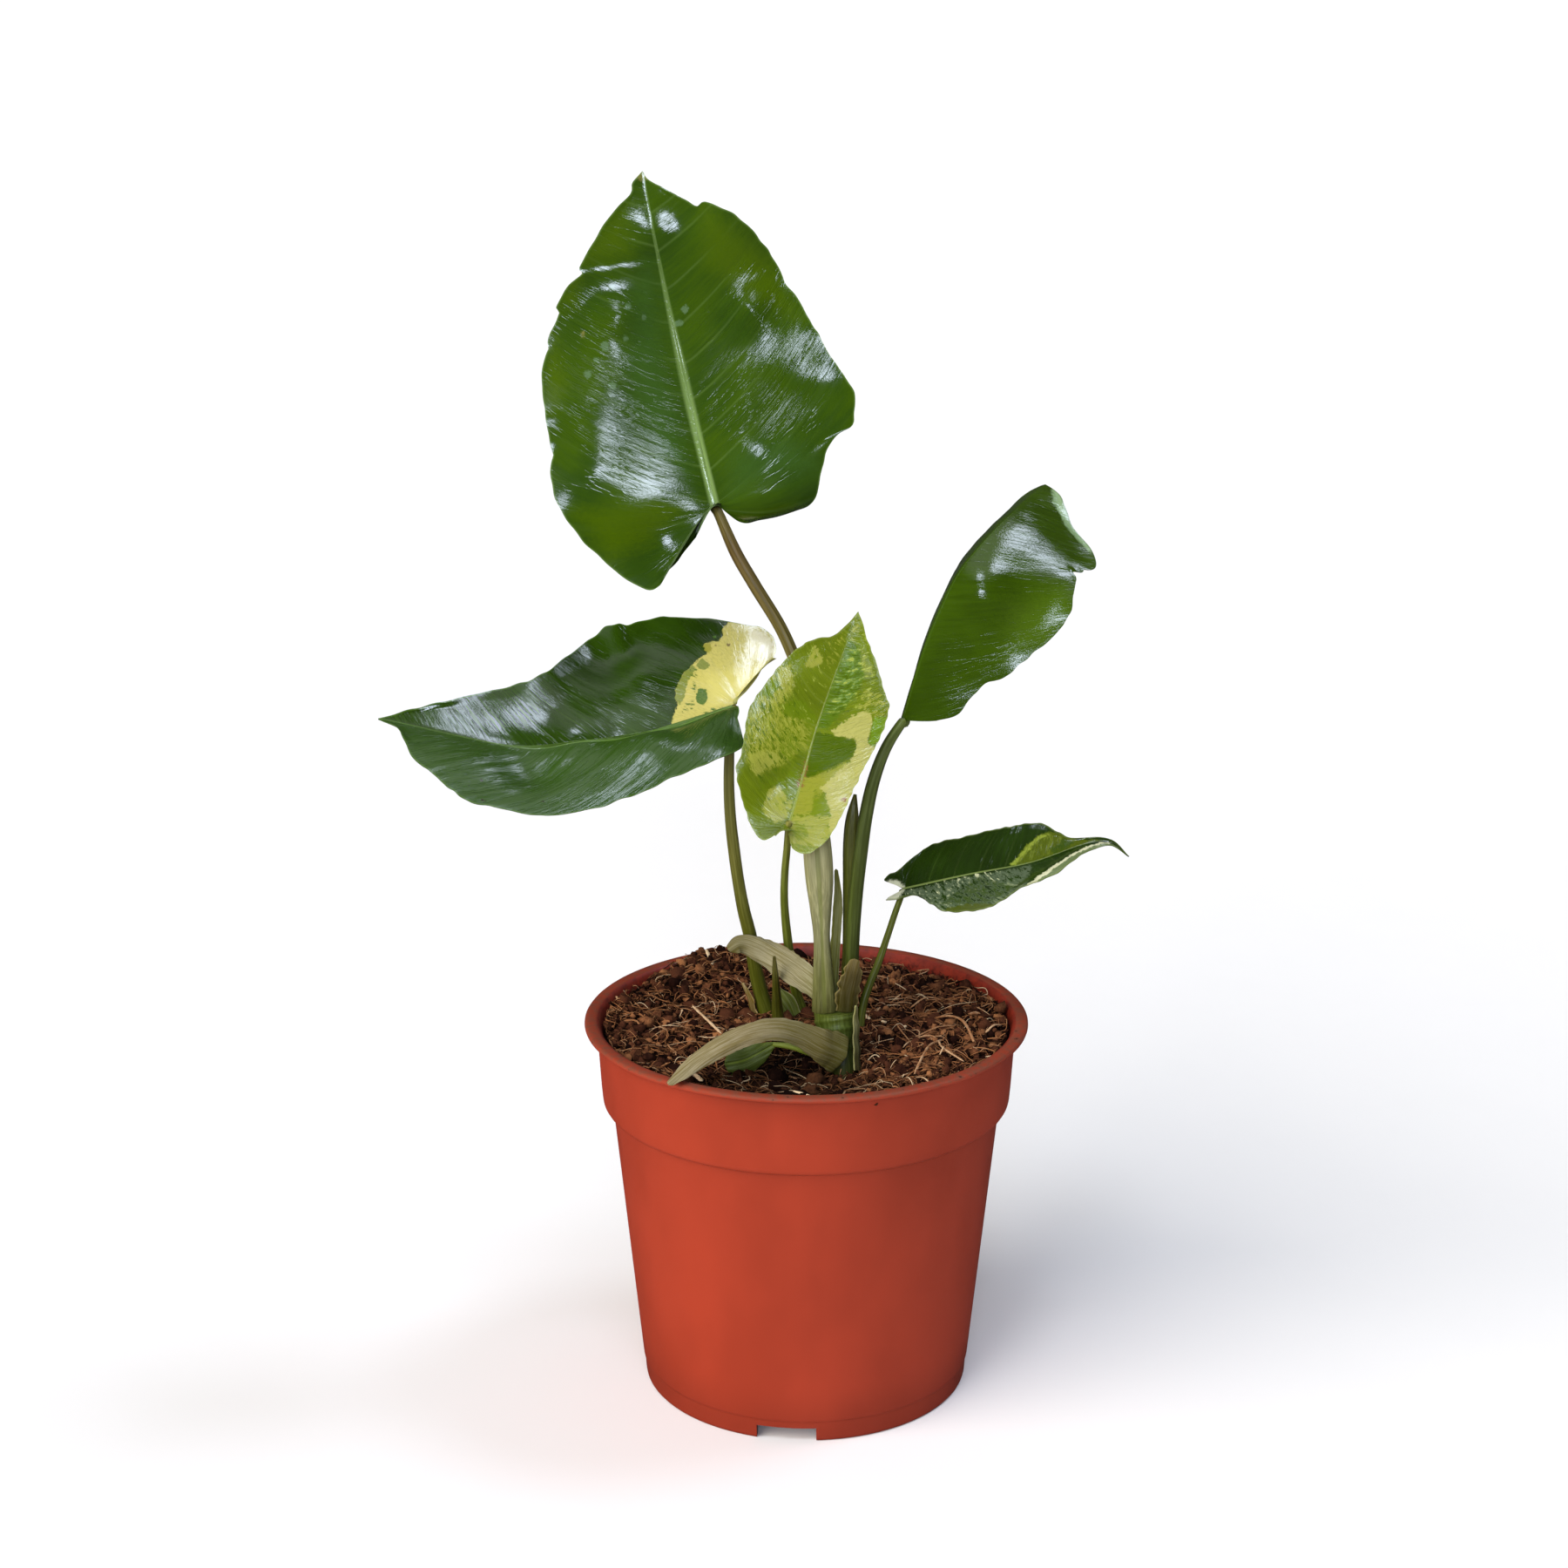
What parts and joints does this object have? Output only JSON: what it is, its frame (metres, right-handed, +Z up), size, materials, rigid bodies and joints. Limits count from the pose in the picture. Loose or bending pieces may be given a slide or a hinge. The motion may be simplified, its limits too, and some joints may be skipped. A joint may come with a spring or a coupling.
{
  "type": "potted variegated philodendron",
  "caption": "Young variegated philodendron with long-stalked, heart-shaped glossy leaves, standing in a stepped plastic nursery pot filled with soil.",
  "frame": {"origin": "middle of the pot's foot, on the ground", "axes": "+Z up along the pot's axis; the plant's best side looks towards -Y, and +X is to the right as seen from there"},
  "size_m": [0.1967, 0.12, 0.3267],
  "materials": {
    "pot_plastic": "moulded polypropylene, satin",
    "soil": "damp coir and peat",
    "leaf_top": "glossy yellow-green leaf",
    "leaf_left": "glossy deep green leaf with a cream patch",
    "leaf_front": "leaf marbled in lime, green and cream",
    "leaf_right": "glossy mid green leaf",
    "leaf_low": "dark leaf with silver-green marbling",
    "petiole_green": "smooth waxy stalk",
    "petiole_pale": "striated pale stalk with a sheathed foot",
    "stem_green": "smooth waxy stem",
    "bract_pale": "dry cream bract",
    "sheath_brown": "papery torn sheath"
  },
  "bodies": {
    "root": {"pot": "pot_plastic", "soil": "soil", "main_stem": "stem_green", "side_shoot": "stem_green", "petiole_top_leaf": "petiole_pale", "petiole_left_leaf": "petiole_green", "petiole_front_leaf": "petiole_green", "petiole_right_leaf": "petiole_green", "petiole_low_leaf": "petiole_green", "rolled_new_leaf": "petiole_green", "petiole_wing": "bract_pale", "upper_bract": "bract_pale", "lower_bract": "bract_pale", "torn_sheath": "sheath_brown", "stem_side_sheath": "bract_pale", "side_shoot_tip": "stem_green", "papery_sheath": "sheath_brown", "small_green_sheath": "stem_green", "small_leaf_stalk": "petiole_green", "small_leaf_blade": "leaf_low", "blade_top_leaf": "leaf_top", "blade_left_leaf": "leaf_left", "blade_front_leaf": "leaf_front", "blade_right_leaf": "leaf_right", "blade_low_leaf": "leaf_low"}
  },
  "joints": []
}
